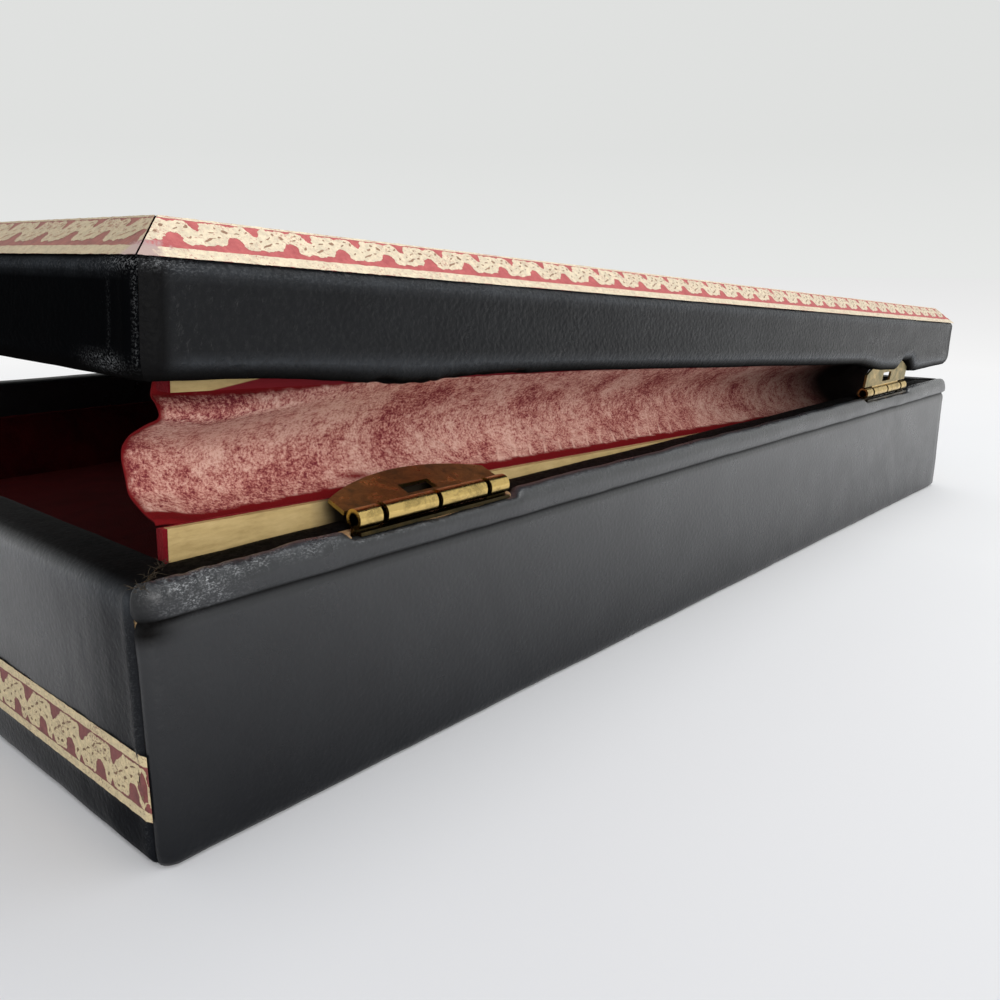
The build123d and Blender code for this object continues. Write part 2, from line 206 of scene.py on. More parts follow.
def leather_material(name, wear_and_painted_light, gloss, shade=1.0, fades=(), tooth=0.15):
    """Black glazed leather. The flag after the name makes it read the mesh's marks: scuffs and
    painted highlight, painted sheen with some dust, and painted shade, which also takes the gloss
    away. Each
    of fades changes the gloss along an axis: the axis, two places, and the share of gloss at each."""
    g = Surface(name, 0.3, gloss)
    at = g.place()
    level = gloss
    for axis, low, high, at_low, at_high in fades:
        share = g.times(g.along(at, axis, low, high), at_high - at_low)
        level = g.times(level, g.plus(at_low, share))
    pores = g.node("TexVoronoi", feature="SMOOTH_F1", Vector=at, Scale=1.0 / 0.7)
    wrinkle = g.noise(at, 1.0, 4.0, 0.65, 1.2)
    grain = g.mix(0.45, wrinkle, pores.outputs["Distance"])
    height = g.mix(0.25, grain, g.noise(at, 6.0, 3.0, 0.5, 0.6))
    deep, pale = (tuple(shade * c for c in black)
                  for black in ((0.0045, 0.0050, 0.0065), (0.010, 0.011, 0.013)))
    colour = g.ramp(g.noise(at, 24.0, 4.0, 0.6), (0.3, deep), (0.7, pale))
    specks = g.ramp(g.noise(at, 0.35, 2.0, 0.7), (0.74, 0.0), (0.82, 0.10))
    colour = g.mix(specks, colour, (0.12, 0.12, 0.12))
    rough = g.ramp(g.noise(at, 9.0, 4.0, 0.6), (0.3, 0.25), (0.7, 0.36))
    if wear_and_painted_light:
        scuff_and_highlight, dust_and_sheen, painted_shade_and_tarnish = (g.attribute(key) for key in ("scuff_and_highlight", "dust_and_sheen", "painted_shade_and_tarnish"))
        height = g.times(height, g.plus(g.times(scuff_and_highlight, 2.0), g.plus(1.0, dust_and_sheen)))
        streaks = g.noise(g.place((0.6, 1.0, 1.0)), 0.22, 3.0, 0.75)
        scuff_and_highlight = g.times(scuff_and_highlight, g.ramp(streaks, (0.50, 0.0), (0.62, 1.0)), True)
        dust_and_sheen = g.times(dust_and_sheen, g.ramp(wrinkle, (0.35, 0.55), (0.6, 1.0)), True)
        painted_shade_and_tarnish = g.times(painted_shade_and_tarnish, g.ramp(wrinkle, (0.3, 0.94), (0.6, 1.0)), True)
        # The marks' colours: pale grey for scuffs and painted highlight, bluish grey for painted
        # sheen with some dust, near black for painted shade
        colour = g.mix(scuff_and_highlight, colour, (0.34, 0.35, 0.36))
        colour = g.mix(dust_and_sheen, colour, (0.050, 0.056, 0.064))
        colour = g.mix(painted_shade_and_tarnish, colour, (0.0036, 0.0033, 0.0032))
        rough = g.mix(painted_shade_and_tarnish, g.mix(scuff_and_highlight, rough, 0.38), 0.7)
        level = g.times(level, g.minus(1.0, g.times(painted_shade_and_tarnish, 0.99)))
        g.set({"Specular IOR Level": level})
    g.set({"Roughness": rough})
    return g.finish(colour, height, tooth, 0.9)


# The lid's near corner, where the border is rubbed down
MITRE = tuple(on_lid([[134.0, 105.0, 13.2]])[0])
RUBBED_REACH = 3.2


def rubbed_at_mitre(g, at, colour, tint):
    """A colour worn down to a pale tint round the lid's near corner, with a ragged outline."""
    gap = g.node("VectorMath", at, MITRE, operation="DISTANCE").outputs["Value"]
    ragged = g.times(g.noise(at, 2.2, 4.0, 0.75), RUBBED_REACH * 3.0)
    inside = g.minus(RUBBED_REACH * 2.4, g.plus(gap, ragged))
    return g.mix(g.times(inside, 0.8, True), colour, tint)


def gilt_material(name, ground, gold, rubbed=False):
    """Stamped gold over a coloured ground, rubbed through where the noise is high."""
    g = Surface(name, 0.45, 0.4)
    at = g.place()
    rub = g.noise(at, 0.30, 3.0, 0.75)
    lost = g.plus(rub, g.times(g.noise(at, 5.0, 3.0, 0.6), 0.35))
    dull = tuple(0.66 * c for c in gold)
    colour = g.ramp(g.noise(at, 0.9, 4.0, 0.7), (0.3, gold), (0.7, dull))
    colour = g.mix(g.ramp(lost, (0.74, 0.0), (0.84, 0.9)), colour, ground)
    if rubbed:
        colour = rubbed_at_mitre(g, at, colour, (0.42, 0.30, 0.27))
    return g.finish(colour, rub, 0.05, 0.7)


def ground_material(name, dark, light, rubbed=False):
    """The coloured ground of a border, or the strokes in its leaves."""
    g = Surface(name, 0.5, 0.4)
    at = g.place()
    colour = g.ramp(g.noise(at, 1.3, 4.0, 0.7), (0.3, dark), (0.7, light))
    if rubbed:
        colour = rubbed_at_mitre(g, at, colour, (0.42, 0.27, 0.26))
    return g.finish(colour, g.noise(at, 0.6, 3.0, 0.6), 0.06, 0.7)


def velvet_material(name, dark, light, sheen=0.3):
    g = Surface(name, 0.95, 0.1, sheen=sheen)
    g.set({"Sheen Roughness": 0.45, "Sheen Tint": (0.85, 0.10, 0.10)})
    at = g.place()
    tufts = g.noise(at, 0.32, 2.0, 0.6)
    brushed = g.mix(0.35, g.noise(at, 16.0, 4.0, 0.6, 1.5), tufts)
    return g.finish(g.ramp(brushed, (0.35, dark), (0.65, light)), tufts, 0.25, 0.8)


# The backing is painted darker towards the far hinge: painted shade under the lid there
FAR_SHADE_FROM, FAR_SHADE_TO = 0.0, -84.0
TUCK_PERIOD, TUCK_SLANT = 4.3, 0.7


def backing_material(name):
    """The back of the velvet: a pale weave with the red pile showing through in mottles. It is
    drawn over the strip's own coordinates, along it and up it."""
    g = Surface(name, 0.9, 0.05)
    run, rise = g.attribute("run"), g.attribute("rise")
    flat = g.node("CombineXYZ", run, rise).outputs[0]
    fuzz = g.noise(flat, 0.42, 3.0, 0.8)
    mottle = g.noise(flat, 1.5, 5.0, 0.75, 0.3)
    wide = g.noise(flat, 11.0, 4.0, 0.6, 0.2)
    colour = g.ramp(
        g.mix(0.30, g.mix(0.56, mottle, fuzz), wide),
        (0.425, (0.18, 0.026, 0.034)),
        (0.465, (0.36, 0.110, 0.096)),
        (0.505, (0.55, 0.265, 0.215)),
        (0.560, (0.72, 0.46, 0.38)),
    )
    # Pale lines along the tucks: painted highlight on their ridges
    tuck = g.maths("DIVIDE", g.plus(run, g.times(rise, TUCK_SLANT)), TUCK_PERIOD)
    tuck = g.maths("FRACT", g.plus(tuck, g.times(wide, 0.8)))
    tuck = g.minus(1.0, g.times(g.maths("ABSOLUTE", g.minus(tuck, 0.5)), 9.0), True)
    colour = g.mix(g.times(tuck, g.attribute("tuck"), True), colour, (0.80, 0.55, 0.45))
    # Painted shade: the weave and its red margin go near black towards the far hinge
    painted_far_shade = g.along(g.place(), "X", FAR_SHADE_FROM, FAR_SHADE_TO)
    colour = g.mix(painted_far_shade, colour, (0.012, 0.006, 0.005))
    margin = g.mix(painted_far_shade, (0.17, 0.008, 0.010), (0.012, 0.003, 0.003))
    colour = g.mix(g.attribute("pink"), margin, colour)
    return g.finish(colour, g.mix(0.4, fuzz, mottle), 0.25, 0.8)


# The lower edge of the lid's rear board, which the velvet covers: a line through one place
EDGE_X, EDGE_Z, EDGE_SLOPE = 126.75, 53.15, 0.1265


def card_material(name, part=None):
    """Tan card. part is "base" or "lid" for the rear boards: one is painted near black behind the
    near hinge's leaf as painted shade, and the other has velvet turned over its lower edge."""
    g = Surface(name, 0.85, 0.2)
    at = g.place()
    fibres = g.noise(g.place((0.25, 0.25, 1.0)), 0.8, 4.0, 0.7)
    colour = g.ramp(
        g.mix(0.4, fibres, g.noise(at, 7.0, 3.0, 0.6)),
        (0.34, (0.42, 0.30, 0.125)),
        (0.50, (0.53, 0.385, 0.17)),
        (0.66, (0.61, 0.455, 0.215)),
    )
    if part == "base":
        # Painted shade behind the near hinge's leaf
        painted_leaf_shade = g.times(g.along(at, "X", 106.0, 101.5), g.along(at, "X", 71.0, 76.0))
        colour = g.mix(g.times(painted_leaf_shade, 0.97), colour, (0.010, 0.007, 0.006))
    if part == "lid":
        x, _, z = g.split(at)
        edge = g.minus(EDGE_Z + EDGE_X * EDGE_SLOPE, g.times(x, EDGE_SLOPE))
        colour = g.mix(g.times(g.minus(edge, z), 8.0, True), colour, (0.17, 0.007, 0.012))
    return g.finish(colour, fibres, 0.08, 0.7)


def fibre_material(name, roughness, specular, stretch, grain, dark, light, relief):
    """Wood or paper: one noise, whose numbers are its grain, gives both the tone and the bump."""
    g = Surface(name, roughness, specular)
    fibres = g.noise(g.place(stretch), *grain)
    return g.finish(g.ramp(fibres, (0.35, dark), (0.65, light)), fibres, relief, 0.6)


# Distances from the pin's axis, and the height under which the hinge lies in its slot and is
# painted dark as shade
BARREL_OUT, BARREL_IN, SLOT_TOP = 1.62, 1.1, 34.95


def brass_material(name, tarnish):
    """Brass, bright on the barrel and browner away from it, with painted shade round the pin and
    low in its slot. tarnish is how far the plates have gone."""
    g = Surface(name, 0.3, 0.5, metallic=1.0)
    at = g.place()
    _, y, z = g.split(at)
    y_off, z_off = g.minus(y, AXIS_Y), g.minus(z, AXIS_Z)
    away = g.maths("SQRT", g.plus(g.times(y_off, y_off), g.times(z_off, z_off)))
    plate = g.times(g.minus(away, BARREL_OUT), 4.0, True)
    bore_shade = g.times(g.minus(BARREL_IN, away), 4.0, True)
    slot_shade = g.times(g.minus(SLOT_TOP, z), 2.2, True)
    cloud = g.noise(at, 3.2, 4.0, 0.65, 0.6)
    clouds = g.plus(g.times(g.minus(cloud, 0.5), 1.7), 0.5)
    value = g.plus(g.mix(0.3, clouds, g.noise(at, 0.5, 3.0, 0.7)), g.times(plate, tarnish))
    bright, middle, painted_shade_and_tarnish = (0.70, 0.50, 0.18), (0.42, 0.30, 0.108), (0.20, 0.175, 0.075)
    colour = g.ramp(value, (0.48, bright), (0.66, middle), (0.95, painted_shade_and_tarnish))
    # Painted shade: near black inside the barrel, round the pin, and below the slot's top
    dark = g.maths("MAXIMUM", bore_shade, g.times(slot_shade, 0.9))
    colour = g.mix(dark, colour, (0.010, 0.007, 0.004))
    g.set({"Roughness": g.ramp(value, (0.45, 0.20), (0.9, 0.38))})
    scratches = g.noise(g.place((0.15, 1.0, 1.0)), 0.3, 3.0, 0.7)
    return g.finish(colour, g.mix(0.4, scratches, cloud), 0.05, 0.6)


# Leather for the sides of the base and lid, each with the one for its right side
LEATHERS = {
    "base": (
        leather_material("leather_base", True, 0.8, 1.0,
                         [("Z", 1.0, 29.0, 0.22, 1.0), ("X", 125.0, -125.0, 0.80, 2.9)]),
        leather_material("leather_base_end", True, 1.9, 1.0,
                         [("Z", 5.0, 20.0, 0.06, 1.0), ("Y", 60.0, 98.0, 1.0, 0.05)]),
    ),
    "lid": (
        leather_material("leather_lid", True, 0.25, 0.6, [("X", 110.0, -115.0, 0.68, 1.40)], 0.45),
        # The lid's end is painted shade: its blacks at a fifth and almost no gloss
        leather_material("leather_lid_end", True, 0.0004, 0.2),
    ),
}
LEATHER_PLAIN = leather_material("leather_flat", False, 0.4)
GOLD = gilt_material("gilt_gold", (0.16, 0.045, 0.035), (0.76, 0.62, 0.36))
GOLD_LID = gilt_material("gilt_gold_lid", (0.46, 0.20, 0.15), (0.84, 0.72, 0.52), True)
# The lid end's gold is a darker copy of the lid's: painted shade
GOLD_LID_END = gilt_material("gilt_gold_lid_end", (0.26, 0.10, 0.07), (0.52, 0.42, 0.26), True)
RED_BASE = ground_material("border_red_base", (0.13, 0.028, 0.026), (0.24, 0.060, 0.055))
RED_LID = ground_material("border_red_lid", (0.36, 0.055, 0.058), (0.54, 0.120, 0.115), True)
# The lid end's red is a darker copy of the lid's: painted shade
RED_LID_END = ground_material(
    "border_red_lid_end", (0.17, 0.045, 0.034), (0.29, 0.090, 0.062), True)
VEIN = ground_material("border_vein", (0.12, 0.065, 0.030), (0.24, 0.135, 0.065))
VEIN_LID = ground_material("border_vein_lid", (0.20, 0.11, 0.06), (0.36, 0.20, 0.12))
VELVET = velvet_material("velvet_red", (0.08, 0.003, 0.006), (0.19, 0.007, 0.013))
# Velvet inside the box: a darker copy with less sheen, painted shade
VELVET_SHADED = velvet_material(
    "velvet_red_inner", (0.020, 0.0008, 0.0013), (0.066, 0.0024, 0.0036), 0.14)
BACKING = backing_material("velvet_backing")
CARD = card_material("card_tan")
CARD_BASE = card_material("card_tan_stained", "base")
CARD_LID = card_material("card_tan_wrapped", "lid")
WOOD = fibre_material("wood_bare", 0.7, 0.3, (0.05, 0.05, 1.0), (1.4, 5.0, 0.65, 0.8),
                      (0.25, 0.13, 0.06), (0.50, 0.33, 0.17), 0.1)
PAPER = fibre_material("paper_black", 0.9, 0.2, (1, 1, 1), (0.9, 5.0, 0.75, 0.5),
                       (0.012, 0.012, 0.014), (0.030, 0.030, 0.032), 0.06)
BRASS = brass_material("brass_worn", 0.30)
TARNISHED = brass_material("brass_brown", 0.28)

# The look of each node, by the ending of its name; the others are brass
LOOKS = {
    "_wall": WOOD, "_board": WOOD, "_leather": LEATHER_PLAIN, "_card": CARD, "_velvet": VELVET,
    "_border": RED_BASE, "base_underside_cover": PAPER, "hinge_gusset": BACKING,
    "near_hinge_upper_leaf": TARNISHED,
}
for name, obj in NODES.items():
    look = next((look for ending, look in LOOKS.items() if name.endswith(ending)), BRASS)
    obj.data.materials.clear()
    obj.data.materials.append(RED_LID if look == RED_BASE and name.startswith("lid") else look)


# Mesh building
def add_object(name, data):
    obj = bpy.data.objects.new(name, data)
    bpy.context.scene.collection.objects.link(obj)
    return obj


def shaded(mesh, material):
    """A mesh with its material, smoothly shaded."""
    mesh.materials.append(material)
    mesh.polygons.foreach_set("use_smooth", [True] * len(mesh.polygons))
    mesh.update()
    return mesh


def wire(obj, node_name, body):
    """Hide the node that a piece stands in for, and attach the piece to what it moves with."""
    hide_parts(node_name)
    if body:
        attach(obj, body)
    return obj


def piece(name, points, faces, material, node_name, body, marks=None):
    """One mesh from points in millimetres. marks are named values, one for each point."""
    points = np.asarray(points, float).reshape(-1, 3)
    points = (on_lid(points) if body == "lid" else points) * MM
    mesh = bpy.data.meshes.new(name)
    mesh.from_pydata([tuple(p) for p in points], [], [tuple(int(k) for k in f) for f in faces])
    for key, values in (marks or {}).items():
        store = mesh.attributes.new(key, "FLOAT", "POINT")
        store.data.foreach_set("value", np.asarray(values, np.float32).ravel())
    return wire(add_object(name, shaded(mesh, material)), node_name, body)


def grid_faces(rows, columns, flip=False, first=0):
    """Quads of a grid whose points run along each row in turn."""
    a = first + (np.arange(rows - 1)[:, None] * columns + np.arange(columns - 1)[None, :]).ravel()
    quads = [a, a + columns, a + columns + 1, a + 1]
    if flip:
        quads.reverse()
    return np.stack(quads, 1)


def curve_through(points, step):
    """A smooth line through a few points, sampled about every step."""
    p = np.asarray(points, float)
    p = np.vstack([2 * p[0] - p[1], p, 2 * p[-1] - p[-2]])
    out = []
    for k in range(1, len(p) - 2):
        a, b, c, d = p[k - 1:k + 3]
        gap = np.linalg.norm(c - b)
        ta = (c - a) * min(1.0, gap / max(np.linalg.norm(b - a), 1e-6)) / 2
        tb = (d - b) * min(1.0, gap / max(np.linalg.norm(d - c), 1e-6)) / 2
        n = max(1, int(round(gap / step)))
        for t in np.arange(n) / n:
            h = (2 * t**3 - 3 * t**2 + 1, t**3 - 2 * t**2 + t, -2 * t**3 + 3 * t**2, t**3 - t**2)
            out.append(h[0] * b + h[1] * ta + h[2] * c + h[3] * tb)
    out.append(p[-2])
    return np.array(out)


def stops(low, high, fine_at, fine, coarse, reach):
    """Places from low to high, close together near some of them."""
    out = [low]
    while out[-1] < high:
        near = min(abs(out[-1] - f) for f in fine_at)
        out.append(out[-1] + fine + (coarse - fine) * float(smooth(near, reach * 0.4, reach)))
    out[-1] = high
    return np.array(out)


# Each side's outward direction, half its own length, its distance from the middle, the sign of
# its end that is nearer to the camera, and the seed of its waves
SIDES = {
    "rear": (np.array([0.0, 1.0, 0.0]), LENGTH / 2, DEPTH / 2, -1, 0.0),
    "front": (np.array([0.0, -1.0, 0.0]), LENGTH / 2, DEPTH / 2, 1, 2.1),
    "right": (np.array([1.0, 0.0, 0.0]), DEPTH / 2, LENGTH / 2, 1, 4.4),
    "left": (np.array([-1.0, 0.0, 0.0]), DEPTH / 2, LENGTH / 2, -1, 6.3),
}


def side_frame(side):
    out, half, reach = SIDES[side][:3]
    return out, np.array([-out[1], out[0], 0.0]), half, reach


def side_point(side, s, inset, z, lift=0.0, lift_z=0.0):
    """A point of one side: s along it round the corner's arc, inset from its face, at a height."""
    out, along, half, reach = side_frame(side)
    s, inset, z = np.broadcast_arrays(np.asarray(s, float), inset, z)
    straight = half - CORNER
    deep = inset > CORNER
    angle = np.clip((np.abs(s) - straight) / CORNER, 0, math.pi / 2)
    radius = np.maximum(CORNER - inset, 0.0)
    run = np.minimum(np.abs(s), straight) + radius * np.sin(angle)
    run = np.where(deep, np.minimum(np.abs(s), half - inset), run)
    away = np.where(deep, reach - inset, reach - CORNER + radius * np.cos(angle))
    angle = np.where(deep, 0.0, angle) * np.sign(s)
    across = along * np.sin(angle)[..., None] + out * np.cos(angle)[..., None]
    point = along * (run * np.sign(s))[..., None] + out * away[..., None] + UP * z[..., None]
    return point + across * np.asarray(lift)[..., None] + UP * np.asarray(lift_z)[..., None]


def skin(side, lid, profile, step, seam, hinges=()):
    """One side's leather, as far round the corners as its seam: places along it, its profile,
    how far it is pushed out by folds and loose low waves, and the distance from the seam."""
    _, half, _, near, seed = SIDES[side]
    end = half - CORNER + seam * CORNER
    s = stops(-end, end, [near * half, *hinges], 0.55, 3.4, 34.0)[:, None]
    inset, z = curve_through(profile, step).T[:, None, :]
    seed = seed + (3.7 if lid else 0.0)
    push = 0.10 * ripple(s, z * 1.4, 46.0, seed)
    push = push + 0.05 * ripple(s, z * 1.5 + inset, 11.0, seed + 1)
    push = push + 0.02 * smooth(1.2 - inset, 0.0, 1.0) * ripple(s, z, 7.0, seed + 2)
    return s, inset, z, push, end - np.abs(s)


def finish_skin(side, group, s, inset, z, push, shift, marks):
    """Push the leather out along its profile's normals, shift it up, and give it its marks."""
    normal = np.stack([np.gradient(z[0]), -np.gradient(inset[0])], 1)
    normal /= np.linalg.norm(normal, axis=1)[:, None] + 1e-9
    if group == "lid":
        normal = -normal
    points = side_point(side, s, inset, z, -push * normal[:, 0], push * normal[:, 1] + shift)
    marks = {key: np.clip(np.broadcast_to(value, push.shape), 0, 1) for key, value in marks.items()}
    piece(f"{side}_{group}_leather_wrap", points, grid_faces(*push.shape, flip=group == "base"),
          LEATHERS[group][side == "right"], f"{group}_{side}_leather", group,
          marks)


# Leather of the base: profiles run from inside the rim, over it, down the face and under
PLAIN_BASE = [
    (7.8, 22.2), (7.8, 28.0), (7.8, 32.9), (7.72, 33.7), (7.2, 34.25), (6.2, 34.35), (4.4, 34.35),
    (2.8, 34.38), (1.6, 34.2), (0.7, 33.6), (0.15, 32.6), (0.0, 31.0), (0.0, 27.0), (0.0, 20.0),
    (0.0, 10.0), (0.0, 2.2), (0.12, 0.8), (0.55, 0.15), (1.4, 0.0), (5.0, 0.0), (10.1, 0.0),
]
ROLLED_BASE = [
    (7.8, 22.2), (7.8, 28.0), (7.8, 32.6), (7.7, 33.4), (7.2, 33.9), (6.2, 34.05), (4.4, 34.05),
    (2.9, 33.95), (2.35, 34.0), (1.9, 34.32), (1.3, 34.5), (0.6, 34.3), (-0.05, 33.6),
    (-0.38, 32.5), (-0.44, 31.4), (-0.28, 30.6), (0.55, 29.9), (0.14, 29.25), (0.0, 28.6),
    (0.0, 24.0), (0.0, 14.0), (0.0, 5.0), (0.0, 2.2), (0.12, 0.8), (0.55, 0.15), (1.4, 0.0),
    (5.0, 0.0), (10.1, 0.0),
]
SEAM_WIDE, SEAM_NARROW = math.radians(76.7), math.radians(13.3)
# Half the width that each hinge takes of the base's rim and of the lid's underside, and the
# height that the rim's leather is pressed down to
RIM_DENT, LID_SLIT, DENT_Z = 17.6, 14.8, 33.15

for side, (_, half, _, near, _) in SIDES.items():
    wide = side in ("rear", "front")
    profile, hinges = (ROLLED_BASE, (-NEAR_X, -FAR_X)) if side == "rear" else (PLAIN_BASE, ())
    made = skin(side, False, profile, 0.9, SEAM_WIDE if wide else SEAM_NARROW, hinges)
    s, inset, z, push, from_seam = made
    face = smooth(1.2 - inset, 0.0, 1.0) * smooth(z, 0.5, 3.0)
    outer = smooth(CORNER + 0.4 - inset, 0.0, 0.6)
    push = push - 0.45 * outer * bump(from_seam, 0.0, 0.35)
    push = push + (0.05 if wide else 0.16) * face * bump(from_seam, 1.1, 0.6)
    shift = dust_and_sheen = 0.0
    if side == "rear":
        x = -s
        near_end = smooth(28.0 - np.abs(s - near * half), 0.0, 24.0)
        roll = smooth(z, 29.6, 30.6) * smooth(3.0 - inset, 0.0, 0.6)
        waves = 0.22 * ripple(s, z * 2, 15.0, 7.0) + 0.12 * near_end * ripple(s, z * 2, 3.0, 1.0)
        waves = waves - 0.22 * bump(x, half - 1.0, 1.6)
        waves = waves + 0.10 * bump(x, 126.0, 7.0) * ripple(s, z * 2, 1.3, 4.0)
        push = push + roll * waves
        under = sum(smooth(RIM_DENT - np.abs(x - at), 0.0, 1.9) for at in (NEAR_X, FAR_X))
        under = under * smooth(z, 32.4, 33.6) * smooth(4.6 - inset, 0.0, 1.6)
        shift = -under * np.clip(z - DENT_Z, 0.0, 2.0)
        # On the roll's crest, pale marks that are partly wear and partly painted highlight, with a
        # painted glare by the near corner
        crest = smooth(z, 32.4, 33.8) * smooth(2.2 - inset, 0.0, 0.9)
        wear_and_painted_light = crest * (0.14 + 0.56 * smooth(x, 60.0, 124.0)) + 0.9 * roll * bump(x, 127.5, 4.0)
        scuff_and_highlight = wear_and_painted_light * np.clip(0.5 + 0.9 * ripple(s * 2, z * 4, 6.0, 9.0), 0, 1)
        # Painted sheen, with some dust, along the roll's outer curve
        dust_and_sheen = roll * bump(inset, 0.9, 0.9) * (0.55 + 0.3 * ripple(s, z, 9.0, 4.0))
        # Painted shade, dark and dull: the rim's flat top under the lid, the crease under the roll,
        # and spots by the near corner that put out the lamp's highlights
        painted_shade_and_tarnish = smooth(inset, 1.6, 2.2) + 0.5 * roll * bump(x, 134.5, 2.0)
        painted_shade_and_tarnish = painted_shade_and_tarnish + 0.9 * bump(z, 29.85, 0.4) * smooth(1.0 - inset, 0.0, 0.4)
        painted_shade_and_tarnish = painted_shade_and_tarnish + bump(z, 28.8, 1.3) * bump(x, 134.0, 3.0)
    elif side == "right":
        # Painted shade on the rim's top; painted highlight along the rim's inner edge and down the
        # corner; painted sheen with some dust along the face's upper edge
        rim = smooth(z, 33.0, 34.0)
        painted_shade_and_tarnish = 0.9 * rim
        scuff_and_highlight = 0.35 * rim * bump(inset, 5.0, 0.3) + 0.12 * face * bump(from_seam, 0.8, 0.4)
        dust_and_sheen = 0.5 * smooth(z, 29.0, 33.0) * smooth(1.6 - inset, 0.0, 0.8)
        push = push + 0.07 * face * ripple(s * 2.2, z * 0.35, 14.0, 2.0)
    else:
        # Painted shade on the rim's top, and pale marks along its outer edge, partly wear and
        # partly painted highlight
        painted_shade_and_tarnish = 0.7 * smooth(z, 33.0, 34.0)
        scuff_and_highlight = 0.25 * smooth(z, 32.0, 33.6) * smooth(2.6 - inset, 0.0, 1.2)
    marks = {"scuff_and_highlight": scuff_and_highlight, "painted_shade_and_tarnish": painted_shade_and_tarnish, "dust_and_sheen": dust_and_sheen}
    finish_skin(side, "base", s, inset, z, push, shift, marks)

# Leather of the lid: profiles run from inside the rim, under it, up the face and over the bevel
LID_PROFILE = [
    (7.8, 6.9), (7.8, 3.0), (7.78, 1.1), (7.5, 0.35), (6.8, 0.02), (4.6, 0.0), (3.4, 0.0),
    (2.8, 0.0), (2.65, 0.05), (1.35, 0.1), (1.1, 0.3), (0.5, 0.95), (0.1, 1.9), (0.0, 3.2),
    (0.0, 6.0), (0.0, 9.0), (0.0, 11.1), (0.1, 11.55), (0.42, 11.98), (2.6, 13.9), (4.8, 15.85),
    (5.15, 16.2), (5.6, 16.4), (6.5, 16.43),
]
for side in SIDES:
    hinges = [-NEAR_X] if side == "rear" else []
    s, inset, z, push, from_seam = skin(side, True, LID_PROFILE, 0.8, math.pi / 4, hinges)
    x = -s if side == "rear" else s
    wall = smooth(z, 0.4, 2.0) * smooth(11.6 - z, 0.0, 0.8)
    folds = bump(from_seam, 1.6, 0.5) - 0.8 * bump(from_seam, 0.7, 0.4)
    folds = folds - 0.5 * bump(from_seam, 3.6, 0.7)
    swell = 0.32 * bump(z, 3.3, 0.9) * smooth(from_seam, 2.0, 9.0)
    push = push * (1 - 0.7 * smooth(z, 11.9, 12.4)) + wall * (0.12 * folds + swell)
    # Under the bevel, a pale band along the rounded edge: painted sheen with some dust, and painted
    # highlight that is strongest by the corners
    scuff_and_highlight = 0.12 * bump(z, 11.2, 0.5) * smooth(from_seam, 2.0, 8.0)
    scuff_and_highlight = scuff_and_highlight + 0.45 * bump(z, 11.5, 0.6) * bump(from_seam, 2.0, 4.0)
    dust_and_sheen = 0.55 * bump(z, 11.2, 0.65) * smooth(from_seam, 1.0, 6.0)
    dust_and_sheen = dust_and_sheen * (0.8 + 0.3 * ripple(s, z, 8.0, 2.0))
    # Painted shade on the underside of the lower lip
    painted_shade_and_tarnish = smooth(1.25 - z, 0.0, 0.5)
    shift = 0.0
    if side == "right":
        # Pale marks low by the corner, and thin painted highlights along the corner's folds
        scuff_and_highlight = scuff_and_highlight + 0.7 * bump(z, 1.3, 0.9) * bump(from_seam, 6.5, 3.5)
        lines = 0.25 * bump(from_seam, 5.0, 0.16) + 0.20 * bump(from_seam, 0.5, 0.16)
        scuff_and_highlight = scuff_and_highlight + wall * lines
    else:
        # Painted sheen with some dust on the ridge above the lower edge, growing towards the far
        # end
        more = 0.45 + 0.55 * smooth(-x, -30.0, 60.0)
        dust_and_sheen = dust_and_sheen + more * bump(z, 1.95, 0.6) * smooth(from_seam, 2.0, 6.0)
    if side == "rear":
        # Painted shade in a strip beside the corner's seam
        painted_shade_and_tarnish = painted_shade_and_tarnish + 0.7 * wall * smooth(3.0 - from_seam, -0.4, 0.8)
        rim = smooth(6.5 - inset, 0.0, 2.5)
        droop = bump(x, 97.0, 13.0) * (1 + 0.25 * ripple(s, 0, 5.0, 2.0))
        shift = -1.15 * smooth(3.2 - z, 0.0, 3.0) * rim * droop
        slit = smooth(LID_SLIT - np.abs(x - NEAR_X), 0.0, 0.5) * bump(inset, 2.0, 0.62)
        shift = shift + 3.4 * slit * smooth(0.5 - z, 0.0, 0.4)
        sag = 1.7 * smooth(-x, 58.0, 78.0) + 1.8 * smooth(-x, 98.0, 108.0)
        sag = sag - 2.4 * smooth(-x, 128.0, 134.5)
        # It stays short enough to pass over the base's roll when the lid opens
        sag = np.minimum(sag, np.maximum(2.6 + (x + 100.0) * 0.0626, 0.0))
        leaf_gap = smooth(6.0 - np.abs(x + 94.0), 0.0, 1.5)
        shift = shift - smooth(7.0 - z, 0.0, 7.0) * rim * (sag - 2.4 * leaf_gap)
        drag = wall * smooth(x, -40.0, 10.0) * smooth(95.0 - x, 0.0, 40.0)
        push = push + 0.05 * drag * np.abs(ripple(s * 3.0, z * 0.3, 9.0, 5.0))
    marks = {"scuff_and_highlight": scuff_and_highlight, "painted_shade_and_tarnish": painted_shade_and_tarnish, "dust_and_sheen": dust_and_sheen}
    finish_skin(side, "lid", s, inset, z, push, shift, marks)

# Gilt borders. Places on them are a distance along the side and one down from the top line
BORDER_TOP = 14.3
GILT_LIFT = 0.12


def base_surface(side, s, v, lift):
    return side_point(side, s, 0.0 * v, BORDER_TOP - v, GILT_LIFT + lift)


def lid_surface(side, s, v, lift):
    out, along, half, reach = side_frame(side)
    inset = BEVEL_IN * (1 - v / BEVEL_LONG)
    mitre = half - inset - 0.05
    z = LID_HEIGHT - BEVEL_UP * v / BEVEL_LONG
    s = np.clip(s, -mitre, mitre)
    where = along * s[..., None] + out * (reach - inset)[..., None] + UP * z[..., None]
    return where + (out * BEVEL_UP + UP * BEVEL_IN) / BEVEL_LONG * (GILT_LIFT + lift)


